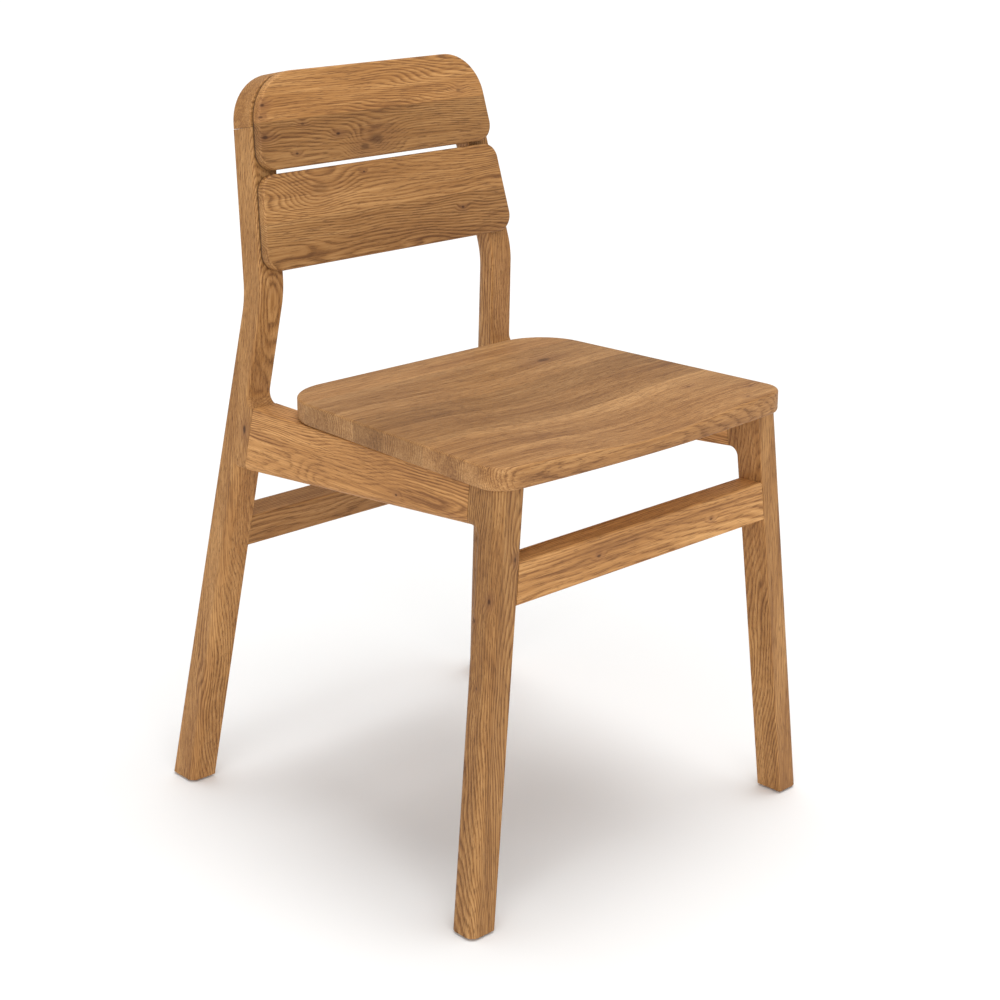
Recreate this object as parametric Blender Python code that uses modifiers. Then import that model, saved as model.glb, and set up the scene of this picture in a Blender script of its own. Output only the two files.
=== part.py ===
"""Dining chair in solid oak: two canted side frames, two stretchers, a staved seat and a slatted back.

Metres, +Z up. The origin is on the floor under the middle of the chair, and the front is at -Y.
Each side frame is one plane of 30 mm stock. It leans in towards the top and closes in a little
towards the rear, so a point of it is given by how far it lies in from the outer face, and by y and z.
"""

from math import atan, cos, hypot, pi, sin, tan

import bmesh
import bpy
from mathutils import Matrix, Vector

# Overall
DEPTH = 0.500
SEAT_FRONT_Y = -DEPTH / 2
JOINT_GAP = 0.0003

# Side frames: outer half width at the floor, and how it changes with height and towards the rear
HALF_WIDTH = 0.2387
CANT = 0.112
TAPER = 0.0166
STOCK = 0.030
FOOT_Z = 0.0025

# Front leg
FRONT_FOOT_Y = -0.2462
FRONT_LEG_DEPTH = 0.0317
FRONT_LEAN = 0.027

# Rear leg: the splayed foot, the knee above the seat and the back post that leans away
REAR_FOOT_Y = 0.2504
REAR_FOOT_DEPTH = 0.0375
KNEE_Y = 0.1354
KNEE_Z = 0.549
REAR_KNEE_Y = 0.1652
REAR_KNEE_Z = 0.5424
KNEE_RADIUS = 0.090
POST_DEPTH = 0.0305
POST_TOP_Z = 0.7131
BACK_ANGLE = atan(0.200)

# Side rail, between the haunches of the two legs
SEAT_BOTTOM_Z = 0.4335
RAIL_REAR_BOTTOM_Z = 0.3645
RAIL_FRONT_BOTTOM_Z = 0.3934
REAR_HAUNCH = 0.0125
FRONT_HAUNCH = 0.0103
REAR_FILLET = 0.012
FRONT_FILLET = 0.009

# Round-overs of the side frames
OUTER_ROUND = 0.009
REAR_OUTER_ROUND = 0.003
INNER_ROUND = 0.016
INNER_ROUND_SLACK = 0.0016
STOP_MARGIN = 0.002
ROUND_RUN_OUT = 0.022
ROUND_LEFT_AT_JOINT = 0.06

# Stretchers: height of the middle, section
FRONT_STRETCHER_Z = 0.341
FRONT_STRETCHER_HEIGHT = 0.0412
FRONT_STRETCHER_DEPTH = 0.0292
REAR_STRETCHER_Z = 0.2916
REAR_STRETCHER_HEIGHT = 0.0336
REAR_STRETCHER_DEPTH = 0.0322
STRETCHER_EASED = 0.002

# Seat panel, its dish, and its glue lines from the front one to the rear one
SEAT_THICKNESS = 0.0232
SEAT_REAR_Y = 0.1010
SEAT_FRONT_HALF = 0.2042
SEAT_REAR_HALF = 0.1872
SEAT_BOW = 0.0078
SEAT_BOW_HALF = 0.1775
SEAT_REAR_CORNER = 0.058
SEAT_TOP_EASED = 0.0024
SEAT_BOTTOM_EASED = 0.004
DISH_DEPTH = 0.0078
DISH_HALF_WIDTH = 0.165
DISH_REAR_Y = 0.075
DISH_FULL_Y = -0.060
DISH_STEPS = 6
DISH_STATIONS = (-0.220, -0.165, -0.105, -0.050, 0.025)
STATION_MARGIN = 0.015
SEAT_GLUE_LINES = (-0.1934, -0.1349, -0.0749, -0.0279, 0.0021, 0.0521)

# Back slats and crest rail, measured up the slope of the posts from the knee
SLAT_THICKNESS = 0.0118
SLAT_HEIGHT = 0.0964
SLAT_GAP = 0.0036
SLAT_START = 0.0218
SLAT_CORNER = 0.018
SLAT_INSET = 0.0018
TOP_CORNER = 0.051
SLAT_EASED = 0.003
CREST_FRONT_EASED = 0.001

# Hidden fixings
TENON_THICKNESS = 0.010
TENON_REACH = 0.020
TENON_CORNER = 0.004
RAIL_TENON_FRONT_HEIGHT = 0.020
RAIL_TENON_REAR_HEIGHT = 0.036
STRETCHER_TENON_LENGTH = 0.038
STRETCHER_TENON_SHIFT = 0.003
STRETCHER_TENON_FRONT_HEIGHT = 0.022
STRETCHER_TENON_REAR_HEIGHT = 0.018
STRETCHER_TENON_EASED = 0.001
CREST_DOWEL_RADIUS = 0.004
CREST_DOWEL_LENGTH = 0.034
CREST_DOWEL_EASED = 0.001
CREST_DOWELS_INWARD = (("outer", 0.0095), ("inner", 0.0200))
CREST_DOWEL_BEHIND = 0.0115
SLAT_DOWEL_RADIUS = 0.003
SLAT_DOWEL_LENGTH = 0.023
SLAT_DOWEL_COVER = 0.004
SLAT_DOWEL_INWARD = 0.015
TOP_SLAT_DOWEL_INWARD = 0.030
BOTTOM_BOARD_DOWEL = 0.18
TOP_BOARD_DOWEL = 0.73
POST_END_MARGIN = 0.006
FIT_CLEARANCE = 0.0004
HOLE_END_CLEARANCE = 0.001
SEAT_SCREW_YS = (-0.1050, 0.0270)
SEAT_SCREW_LENGTH = 0.043
SEAT_SCREW_GRIP = 0.028
SEAT_SCREW_RADIUS = 0.002
SEAT_SCREW_HEAD = 0.0042
SEAT_SCREW_HEAD_THICKNESS = 0.0022
SEAT_SCREW_CROWN = 0.0008
SEAT_SCREW_POINT = 0.006
SEAT_SCREW_INWARD = 0.016
COUNTERBORE_RADIUS = 0.0055
COUNTERBORE_FLOOR = 0.30
GLIDE_RADIUS = 0.010
GLIDE_EASED = 0.0006
GLIDE_PIN_RADIUS = 0.0012
GLIDE_PIN_TOP = 0.014

ARC_STEPS = 5
FLAT = 0.00001
EDGE_ANGLE = 0.3
SIDES = (("left", -1), ("right", 1))


def collection(name):
    made = bpy.data.collections.new(name)
    bpy.context.scene.collection.children.link(made)
    return made


for old in list(bpy.data.objects):
    bpy.data.objects.remove(old, do_unlink=True)
chair = collection("dining_chair")
cutters = collection("cutters")


# Materials

def material(name, colour, roughness, metallic=0.0):
    made = bpy.data.materials.new(name)
    made.use_nodes = True
    shader = made.node_tree.nodes["Principled BSDF"]
    shader.inputs["Base Color"].default_value = (*colour, 1)
    shader.inputs["Roughness"].default_value = roughness
    shader.inputs["Metallic"].default_value = metallic
    return made


OAK = ((0.45, 0.24, 0.11), 0.55)
BEECH = ((0.62, 0.42, 0.26), 0.6)
STEEL = ((0.55, 0.55, 0.57), 0.35, 1.0)
NYLON = ((0.05, 0.04, 0.035), 0.6)


# Helpers: outlines, meshes and objects

def corner_points(corners, steps=ARC_STEPS):
    """For each (a, b, radius) corner of a closed outline, the points of the arc that rounds it."""
    runs = []
    count = len(corners)
    for i, (a, b, radius) in enumerate(corners):
        here = Vector((a, b))
        if radius == 0:
            runs.append([here])
            continue
        back = (Vector(corners[i - 1][:2]) - here).normalized()
        on = (Vector(corners[(i + 1) % count][:2]) - here).normalized()
        half = back.angle(on) / 2
        reach = radius / sin(half)
        centre = here + (back + on).normalized() * reach
        start = (here + back * (reach * cos(half)) - centre).normalized()
        end = (here + on * (reach * cos(half)) - centre).normalized()
        runs.append([centre + start.slerp(end, step / steps) * radius for step in range(steps + 1)])
    return runs


def flat(runs):
    return [point for run in runs for point in run]


def rounded(corners, steps=ARC_STEPS):
    return flat(corner_points(corners, steps))


def outline_mesh(points, thickness):
    """A flat board with this outline in its local XY, centred on local z = 0."""
    curve = bpy.data.curves.new("outline", "CURVE")
    curve.dimensions = "2D"
    curve.fill_mode = "BOTH"
    curve.extrude = thickness / 2
    spline = curve.splines.new("POLY")
    spline.points.add(len(points) - 1)
    for target, point in zip(spline.points, points):
        target.co = (point[0], point[1], 0, 1)
    spline.use_cyclic_u = True
    holder = bpy.data.objects.new("outline", curve)
    bpy.context.scene.collection.objects.link(holder)
    evaluated = holder.evaluated_get(bpy.context.evaluated_depsgraph_get())
    mesh = bpy.data.meshes.new_from_object(evaluated)
    bpy.data.objects.remove(holder)
    bm = bmesh.new()
    bm.from_mesh(mesh)
    bpy.data.meshes.remove(mesh)
    bmesh.ops.remove_doubles(bm, verts=bm.verts, dist=1e-6)
    bmesh.ops.dissolve_limit(bm, angle_limit=0.001, verts=bm.verts, edges=bm.edges)
    bmesh.ops.recalc_face_normals(bm, faces=bm.faces)
    return bm


def box_mesh(low, high):
    bm = bmesh.new()
    bmesh.ops.create_cube(bm, size=1)
    low = Vector(low)
    high = Vector(high)
    size = Matrix.Diagonal((*(high - low), 1))
    bmesh.ops.transform(bm, matrix=Matrix.Translation((low + high) / 2) @ size, verts=bm.verts)
    return bm


def add(name, bm, look, group=chair):
    bm.normal_update()
    bmesh.ops.recalc_face_normals(bm, faces=bm.faces)
    mesh = bpy.data.meshes.new(name)
    bm.to_mesh(mesh)
    bm.free()
    made = bpy.data.objects.new(name, mesh)
    group.objects.link(made)
    if look:
        mesh.materials.append(material(name, *look))
    return made


def add_cutter(name, bm):
    made = add(name, bm, None, cutters)
    made.hide_render = True
    made.display_type = "WIRE"
    return made


def cut(target, cutter):
    tool = target.modifiers.new(cutter.name, "BOOLEAN")
    tool.operation = "DIFFERENCE"
    tool.object = cutter


def soften(bm, weigh, segments):
    """Round each edge by the radius that weigh gives for its two ends, largest radius first."""
    groups = {}
    for edge in bm.edges:
        radius = weigh(edge.verts[0].co, edge.verts[1].co)
        if radius and edge.calc_face_angle(0) > EDGE_ANGLE:
            groups.setdefault(radius, []).append(edge)
    for radius in sorted(groups, reverse=True):
        edges = [edge for edge in groups[radius] if edge.is_valid]
        bmesh.ops.bevel(bm, geom=edges, offset=radius, segments=segments, profile=0.5,
                        affect="EDGES", clamp_overlap=False)


def turned(name, profile, look, place, steps=16):
    """A turned piece from (radius, height) points listed from the top down, closed on its axis."""
    mesh = bpy.data.meshes.new(name)
    points = [(radius, 0, height) for radius, height in profile]
    mesh.from_pydata(points, [(i, i + 1) for i in range(len(points) - 1)], [])
    made = bpy.data.objects.new(name, mesh)
    chair.objects.link(made)
    screw = made.modifiers.new("turn", "SCREW")
    screw.steps = steps
    screw.render_steps = steps
    screw.use_merge_vertices = True
    screw.merge_threshold = 0.00001
    made.matrix_world = place
    mesh.materials.append(material(name, *look))
    return made


def round_cutter(name, radius, low, high, place, sides=16):
    """A round bit that drills from low to high along the local z of place."""
    bm = bmesh.new()
    bmesh.ops.create_cone(bm, cap_ends=True, segments=sides, radius1=radius, radius2=radius,
                          depth=high - low)
    bmesh.ops.translate(bm, vec=(0, 0, (high + low) / 2), verts=bm.verts)
    made = add_cutter(name, bm)
    made.matrix_world = place
    return made


# The planes of the chair

def half_width(y, z):
    return HALF_WIDTH - CANT * z - TAPER * y


def front_leg_y(z):
    """Front face of the front legs."""
    return FRONT_FOOT_Y + FRONT_LEAN * z


def rear_leg_y(z):
    """Front face of the rear legs, below the knee."""
    foot = REAR_FOOT_Y - REAR_FOOT_DEPTH
    return foot + (KNEE_Y - foot) * z / KNEE_Z


def rear_leg_back_y(z):
    """Rear face of the rear legs, below the knee."""
    return REAR_FOOT_Y + (REAR_KNEE_Y - REAR_FOOT_Y) * z / REAR_KNEE_Z


def rail_bottom_z(y):
    rear_y = rear_leg_y(RAIL_REAR_BOTTOM_Z)
    front_y = front_leg_y(RAIL_FRONT_BOTTOM_Z) + FRONT_LEG_DEPTH
    along = (y - front_y) / (rear_y - front_y)
    return RAIL_FRONT_BOTTOM_Z + along * (RAIL_REAR_BOTTOM_Z - RAIL_FRONT_BOTTOM_Z)


def rear_joint_y(z):
    return rear_leg_y(z) - REAR_HAUNCH


def front_joint_y(z):
    return front_leg_y(z) + FRONT_LEG_DEPTH + FRONT_HAUNCH


def on_back(x, up, out):
    """A point of the back: up the slope from the knee, and out in front of the posts' faces."""
    y = KNEE_Y + up * sin(BACK_ANGLE) - out * cos(BACK_ANGLE)
    z = KNEE_Z + up * cos(BACK_ANGLE) + out * sin(BACK_ANGLE)
    return Vector((x, y, z))


def back_half_width(up):
    """Half the width over the posts, at this height up the slope."""
    point = on_back(0, up, 0)
    return half_width(point.y, point.z)


POST_TOP_UP = (POST_TOP_Z - KNEE_Z) / cos(BACK_ANGLE)
BACK_TOP_UP = SLAT_START + 2 * SLAT_HEIGHT + SLAT_GAP


# Side frames

def frame_board(points, rounds=(), near=0.0, far=STOCK):
    """A board of the side frame: its outline in y and z, from near to far behind the outer face.

    Each of rounds is a run of outline points, how far in its arris lies, and the radius it gets.
    """
    bm = outline_mesh(points, far - near)
    for vert in bm.verts:
        y, z, across = vert.co
        vert.co = (across + (near + far) / 2, y, z)
    bmesh.ops.recalc_face_normals(bm, faces=bm.faces)
    runs = [({spot(y, z) for y, z in run}, inward, radius) for run, inward, radius in rounds]

    def weigh(a, b):
        for run, inward, radius in runs:
            on_arris = abs(a.x - inward) < FLAT and abs(b.x - inward) < FLAT
            if on_arris and spot(a.y, a.z) in run and spot(b.y, b.z) in run:
                return radius
        return 0

    soften(bm, weigh, 3)
    return bm


def spot(y, z):
    return round(y, 5), round(z, 5)


def stand(bm, side):
    """Put a board of the side frame in its plane."""
    for vert in bm.verts:
        inward, y, z = vert.co
        vert.co.x = side * (half_width(y, z) - inward)
    return bm


def front_leg(name, side):
    bottom = rail_bottom_z(front_joint_y(SEAT_BOTTOM_Z))
    runs = corner_points([
        (front_leg_y(FOOT_Z) + FRONT_LEG_DEPTH, FOOT_Z, 0),
        (front_leg_y(RAIL_FRONT_BOTTOM_Z) + FRONT_LEG_DEPTH, RAIL_FRONT_BOTTOM_Z, FRONT_FILLET),
        (front_joint_y(bottom), bottom, 0),
        (front_joint_y(SEAT_BOTTOM_Z), SEAT_BOTTOM_Z, 0),
        (front_leg_y(SEAT_BOTTOM_Z), SEAT_BOTTOM_Z, 0),
        (front_leg_y(FOOT_Z), FOOT_Z, 0)], 4)
    rounds = [(flat(runs[:3]), 0, OUTER_ROUND), (flat(runs[4:]), 0, OUTER_ROUND)]
    return add(name, stand(frame_board(flat(runs), rounds), side), OAK)


def rear_leg(name, side):
    joint_bottom = rail_bottom_z(rear_joint_y(RAIL_REAR_BOTTOM_Z))
    top_front = on_back(0, POST_TOP_UP, 0)
    top_rear = on_back(0, POST_TOP_UP, -POST_DEPTH)
    runs = corner_points([
        (rear_leg_back_y(FOOT_Z), FOOT_Z, 0),
        (REAR_KNEE_Y, REAR_KNEE_Z, KNEE_RADIUS),
        (top_rear.y, top_rear.z, 0),
        (top_front.y, top_front.z, 0),
        (KNEE_Y, KNEE_Z, KNEE_RADIUS),
        (rear_leg_y(SEAT_BOTTOM_Z), SEAT_BOTTOM_Z, REAR_FILLET),
        (rear_joint_y(SEAT_BOTTOM_Z), SEAT_BOTTOM_Z, 0),
        (rear_joint_y(joint_bottom), joint_bottom, 0),
        (rear_leg_y(RAIL_REAR_BOTTOM_Z), RAIL_REAR_BOTTOM_Z, 0),
        (rear_leg_y(FOOT_Z), FOOT_Z, 0)])
    behind = flat(runs[:3])
    below_rail = flat(runs[7:])
    rounds = [(behind, 0, REAR_OUTER_ROUND), (behind, STOCK, INNER_ROUND), (below_rail, 0, OUTER_ROUND)]
    bm = frame_board(flat(runs), rounds)
    stop_round(bm)
    return add(name, stand(bm, side), OAK)


def stop_round(bm):
    """Let the inner rear round die out to a square corner where the rear stretcher is joined."""
    half = REAR_STRETCHER_HEIGHT / 2 + STOP_MARGIN
    levels = []
    for direction in (-1, 1):
        levels += [REAR_STRETCHER_Z + direction * (half + ROUND_RUN_OUT * part) for part in (0, 0.5, 1)]
    for level in levels:
        bmesh.ops.bisect_plane(bm, geom=[*bm.verts, *bm.edges, *bm.faces], plane_co=(0, 0, level),
                               plane_no=(0, 0, 1))
    for vert in bm.verts:
        inward, y, z = vert.co
        beyond = (abs(z - REAR_STRETCHER_Z) - half) / ROUND_RUN_OUT
        back_y = rear_leg_back_y(z)
        in_depth = y > back_y - INNER_ROUND - INNER_ROUND_SLACK
        in_round = inward > STOCK - INNER_ROUND - FLAT and in_depth
        if beyond < 1 and in_round:
            keep = max(ROUND_LEFT_AT_JOINT, max(0, beyond) ** 0.5)
            vert.co.x = STOCK - (STOCK - inward) * keep
            vert.co.y = back_y - (back_y - y) * keep


def side_rail(name, side):
    bottom = [Vector((y, rail_bottom_z(y))) for y in (
        front_joint_y(RAIL_FRONT_BOTTOM_Z) + JOINT_GAP, rear_joint_y(RAIL_REAR_BOTTOM_Z) - JOINT_GAP)]
    top = [Vector((y, SEAT_BOTTOM_Z)) for y in (
        rear_joint_y(SEAT_BOTTOM_Z) - JOINT_GAP, front_joint_y(SEAT_BOTTOM_Z) + JOINT_GAP)]
    bm = frame_board([*bottom, *top], [(bottom, 0, OUTER_ROUND)])
    return add(name, stand(bm, side), OAK)


def loose_tenon(name, side, middle_y, middle_z, height, owners):
    """A flat tenon along the rail, in a mortise in each of the two pieces that it joins."""
    near = (STOCK - TENON_THICKNESS) / 2
    for extra in (0, FIT_CLEARANCE):
        half_length = TENON_REACH + extra
        half_height = height / 2 + extra
        points = rounded([
            (middle_y - half_length, middle_z - half_height, TENON_CORNER),
            (middle_y + half_length, middle_z - half_height, TENON_CORNER),
            (middle_y + half_length, middle_z + half_height, TENON_CORNER),
            (middle_y - half_length, middle_z + half_height, TENON_CORNER)], 2)
        bm = stand(frame_board(points, (), near - extra, STOCK - near + extra), side)
        if extra:
            mortise = add_cutter(name + "_mortise", bm)
            for owner in owners:
                cut(owner, mortise)
        else:
            add(name, bm, BEECH)


# Stretchers

def stretcher(name, middle_y, middle_z, height, depth, lean):
    """A bar across the chair, tilted like the legs and cut to their inner faces at its ends."""
    bm = box_mesh((-1, -depth / 2, -height / 2), (1, depth / 2, height / 2))
    tilt = Matrix.Rotation(-atan(lean), 4, "X")
    bmesh.ops.transform(bm, matrix=Matrix.Translation((0, middle_y, middle_z)) @ tilt, verts=bm.verts)
    bmesh.ops.recalc_face_normals(bm, faces=bm.faces)
    soften(bm, lambda a, b: STRETCHER_EASED if abs(a.x - b.x) > 1 else 0, 2)
    for vert in bm.verts:
        end = half_width(vert.co.y, vert.co.z) - STOCK - JOINT_GAP
        vert.co.x = end if vert.co.x > 0 else -end
    return add(name, bm, OAK)


def stretcher_tenon(name, side, middle_y, middle_z, height, owners):
    shoulder = side * (half_width(middle_y, middle_z) - STOCK)
    for extra in (0, FIT_CLEARANCE):
        half = Vector((STRETCHER_TENON_LENGTH, TENON_THICKNESS, height)) / 2 + Vector((extra,) * 3)
        middle = Vector((shoulder - side * STRETCHER_TENON_SHIFT, middle_y, middle_z))
        bm = box_mesh(middle - half, middle + half)
        if extra:
            mortise = add_cutter(name + "_mortise", bm)
            for owner in owners:
                cut(owner, mortise)
        else:
            soften(bm, lambda a, b: STRETCHER_TENON_EASED, 1)
            add(name, bm, BEECH)


# Seat

def seat_half(y):
    """Half the width of the seat, which narrows towards the rear."""
    along = (y - SEAT_FRONT_Y) / (SEAT_REAR_Y - SEAT_FRONT_Y)
    return SEAT_FRONT_HALF + (SEAT_REAR_HALF - SEAT_FRONT_HALF) * along


def seat_outline():
    """The seat from above: a bowed front between two corners that are tangent to it."""
    bow_radius = (SEAT_BOW_HALF ** 2 + SEAT_BOW ** 2) / (2 * SEAT_BOW)
    steps = 10
    bow = []
    for step in range(1, steps):
        x = SEAT_BOW_HALF * (2 * step / steps - 1)
        bow.append((x, SEAT_FRONT_Y + bow_radius - (bow_radius ** 2 - x ** 2) ** 0.5, 0))
    slope = SEAT_BOW_HALF / (bow_radius - SEAT_BOW)
    bow_end_y = SEAT_FRONT_Y + SEAT_BOW
    corner_x = seat_half(bow_end_y)
    corner_y = bow_end_y + (corner_x - SEAT_BOW_HALF) * slope
    tangent = hypot(corner_x - SEAT_BOW_HALF, corner_y - bow_end_y)
    along_side = Vector((seat_half(SEAT_REAR_Y) - corner_x, SEAT_REAR_Y - corner_y))
    corner_angle = along_side.angle(Vector((SEAT_BOW_HALF - corner_x, bow_end_y - corner_y)))
    radius = tangent * tan(corner_angle / 2)
    corners = [(-corner_x, corner_y, radius), *bow, (corner_x, corner_y, radius)]
    corners += [(SEAT_REAR_HALF, SEAT_REAR_Y, SEAT_REAR_CORNER),
                (-SEAT_REAR_HALF, SEAT_REAR_Y, SEAT_REAR_CORNER)]
    return rounded(corners, 7)


def dish(x, y):
    """How far the top is hollowed: nothing along the sides and the rear, most at the front middle."""
    across = cos(pi / 2 * min(1, abs(x) / DISH_HALF_WIDTH)) ** 2
    along = min(1, max(0, (DISH_REAR_Y - y) / (DISH_REAR_Y - DISH_FULL_Y)))
    return DISH_DEPTH * across * (3 - 2 * along) * along ** 2


def seat_slab():
    bm = outline_mesh(seat_outline(), SEAT_THICKNESS)
    half = SEAT_THICKNESS / 2

    def rim(a, b):
        if min(a.z, b.z) > half - FLAT:
            return SEAT_TOP_EASED
        return SEAT_BOTTOM_EASED if max(a.z, b.z) < FLAT - half else 0

    soften(bm, rim, 2)
    bmesh.ops.translate(bm, vec=(0, 0, SEAT_BOTTOM_Z + JOINT_GAP + half), verts=bm.verts)
    return bm


def split(bm, place, direction, keep_side=False):
    """Cut the mesh with a plane, and when told to, throw away what lies beyond it and close it."""
    found = bmesh.ops.bisect_plane(bm, geom=[*bm.verts, *bm.edges, *bm.faces], plane_co=place,
                                   plane_no=direction, clear_outer=keep_side)
    rim = [item for item in found["geom_cut"] if isinstance(item, bmesh.types.BMEdge)]
    if keep_side and rim:
        bmesh.ops.contextual_create(bm, geom=rim)


def seat_staves():
    slab = seat_slab()
    lines = (SEAT_FRONT_Y - 1, *SEAT_GLUE_LINES, SEAT_REAR_Y + 1)
    staves = []
    for number, (front, rear) in enumerate(zip(lines, lines[1:]), start=1):
        bm = slab.copy()
        split(bm, (0, front + JOINT_GAP / 2, 0), (0, -1, 0), True)
        split(bm, (0, rear - JOINT_GAP / 2, 0), (0, 1, 0), True)
        for step in range(-DISH_STEPS, DISH_STEPS + 1):
            split(bm, (DISH_HALF_WIDTH * step / DISH_STEPS, 0, 0), (1, 0, 0))
        for y in DISH_STATIONS:
            if front + STATION_MARGIN < y < rear - STATION_MARGIN:
                split(bm, (0, y, 0), (0, 1, 0))
        bmesh.ops.triangulate(bm, faces=bm.faces)
        for vert in bm.verts:
            x, y, z = vert.co
            height = (z - SEAT_BOTTOM_Z - JOINT_GAP) / SEAT_THICKNESS
            vert.co.z -= dish(x, y) * height
        staves.append(add(f"seat_stave_{number}", bm, OAK))
    slab.free()
    return staves


def seat_screws(rails, staves):
    """Screws up through the side rails into the seat, their heads deep in counterbores."""
    head_z = SEAT_BOTTOM_Z - SEAT_SCREW_GRIP
    tip_z = head_z + SEAT_SCREW_LENGTH
    head_rim_z = head_z - SEAT_SCREW_HEAD_THICKNESS
    radius = SEAT_SCREW_RADIUS
    profile = [
        (0, tip_z), (radius, tip_z - SEAT_SCREW_POINT), (radius, head_z), (SEAT_SCREW_HEAD, head_z),
        (SEAT_SCREW_HEAD, head_rim_z), (0, head_rim_z - SEAT_SCREW_CROWN)]
    for (word, side), rail in zip(SIDES, rails):
        for position, y in zip(("front", "rear"), SEAT_SCREW_YS):
            x = side * (half_width(y, SEAT_BOTTOM_Z) - SEAT_SCREW_INWARD)
            stave = staves[sum(line < y for line in SEAT_GLUE_LINES)]
            name = f"seat_screw_{position}_{word}"
            place = Matrix.Translation((x, y, 0))
            turned(name, profile, STEEL, place)
            bore = round_cutter(name + "_counterbore", COUNTERBORE_RADIUS, COUNTERBORE_FLOOR,
                                head_z + JOINT_GAP, place)
            shank = round_cutter(name + "_hole", radius + FIT_CLEARANCE, head_rim_z,
                                 tip_z + HOLE_END_CLEARANCE, place)
            cut(rail, bore)
            cut(rail, shank)
            cut(stave, shank)


# Back

def back_place(up, out):
    """Local x across the chair, local y up the slope, local z out towards the sitter."""
    turn = Matrix.Rotation(pi / 2 - BACK_ANGLE, 4, "X")
    return Matrix.Translation(on_back(0, up, out)) @ turn


def back_board(name, low, high, low_corner, high_corner, out, thickness, inset, front, rear):
    """A board across the back from low to high up the slope, with its ends along the cant.

    The arrises of its front and rear faces get the radii front and rear, save at a square edge.
    """
    wide = back_half_width(low) - inset
    narrow = back_half_width(high) - inset
    points = rounded([
        (-wide, low, low_corner), (wide, low, low_corner),
        (narrow, high, high_corner), (-narrow, high, high_corner)], 8)
    bm = outline_mesh(points, thickness)
    square = [line for line, corner in ((low, low_corner), (high, high_corner)) if corner == 0]

    def rim(a, b):
        if any(abs(a.y - line) < FLAT and abs(b.y - line) < FLAT for line in square):
            return 0
        if min(a.z, b.z) > thickness / 2 - FLAT:
            return front
        return rear if max(a.z, b.z) < FLAT - thickness / 2 else 0

    soften(bm, rim, 2)
    made = add(name, bm, OAK)
    made.matrix_world = back_place(0, out)
    return made


def back_slats():
    """Two slats of two boards each, and how far up the slope the dowels of each board are."""
    boards = []
    out = JOINT_GAP + SLAT_THICKNESS / 2
    for name, low, top_corner in (
            ("slat_lower", SLAT_START, SLAT_CORNER),
            ("slat_upper", SLAT_START + SLAT_HEIGHT + SLAT_GAP, TOP_CORNER)):
        glue = low + SLAT_HEIGHT / 2
        lower = back_board(name + "_bottom_board", low, glue - JOINT_GAP / 2, SLAT_CORNER, 0,
                           out, SLAT_THICKNESS, SLAT_INSET, SLAT_EASED, SLAT_EASED)
        upper = back_board(name + "_top_board", glue + JOINT_GAP / 2, low + SLAT_HEIGHT, 0, top_corner,
                           out, SLAT_THICKNESS, SLAT_INSET, SLAT_EASED, SLAT_EASED)
        boards.append((lower, low + SLAT_HEIGHT * BOTTOM_BOARD_DOWEL))
        boards.append((upper, low + SLAT_HEIGHT * TOP_BOARD_DOWEL))
    return boards


def crest_rail():
    return back_board("crest_rail", POST_TOP_UP + JOINT_GAP, BACK_TOP_UP, 0, TOP_CORNER,
                      -POST_DEPTH / 2, POST_DEPTH, 0, CREST_FRONT_EASED, REAR_OUTER_ROUND)


def crest_dowels(crest, legs):
    """Two dowels up out of each post into the end of the crest rail."""
    for (word, side), leg in zip(SIDES, legs):
        for position, inward in CREST_DOWELS_INWARD:
            middle = on_back(0, POST_TOP_UP, -CREST_DOWEL_BEHIND)
            middle.x = side * (half_width(middle.y, middle.z) - inward)
            axis = Vector((-side * CANT * cos(BACK_ANGLE), sin(BACK_ANGLE), cos(BACK_ANGLE)))
            turn = axis.to_track_quat("Z", "Y").to_matrix().to_4x4()
            place = Matrix.Translation(middle) @ turn
            name = f"crest_dowel_{position}_{word}"
            half = CREST_DOWEL_LENGTH / 2
            radius = CREST_DOWEL_RADIUS
            eased = CREST_DOWEL_EASED
            profile = [(0, half), (radius - eased, half), (radius, half - eased),
                       (radius, eased - half), (radius - eased, -half), (0, -half)]
            turned(name, profile, BEECH, place, 12)
            hole = round_cutter(name + "_hole", radius + FIT_CLEARANCE, -half - HOLE_END_CLEARANCE,
                                half + HOLE_END_CLEARANCE, place)
            cut(crest, hole)
            cut(leg, hole)


def slat_dowels(boards, legs):
    """A dowel from each post into the back of each slat board."""
    for board, up in boards:
        short = board.name.replace("_board", "")
        for (word, side), leg in zip(SIDES, legs):
            middle = on_back(0, up, 0)
            inward = SLAT_DOWEL_INWARD
            owners = [board, leg]
            if up > POST_TOP_UP - POST_END_MARGIN:
                owners = [board, bpy.data.objects["crest_rail"]]
                inward = TOP_SLAT_DOWEL_INWARD
            middle.x = side * (half_width(middle.y, middle.z) - inward)
            place = back_place(0, 0)
            place.translation = middle
            name = f"dowel_{short}_{word}"
            front = SLAT_THICKNESS - SLAT_DOWEL_COVER
            rear = front - SLAT_DOWEL_LENGTH
            profile = [(0, front), (SLAT_DOWEL_RADIUS, front), (SLAT_DOWEL_RADIUS, rear), (0, rear)]
            turned(name, profile, BEECH, place, 12)
            hole = round_cutter(name + "_hole", SLAT_DOWEL_RADIUS + FIT_CLEARANCE,
                                rear - HOLE_END_CLEARANCE, front + HOLE_END_CLEARANCE, place, 12)
            for owner in owners:
                cut(owner, hole)


# Feet

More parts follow.
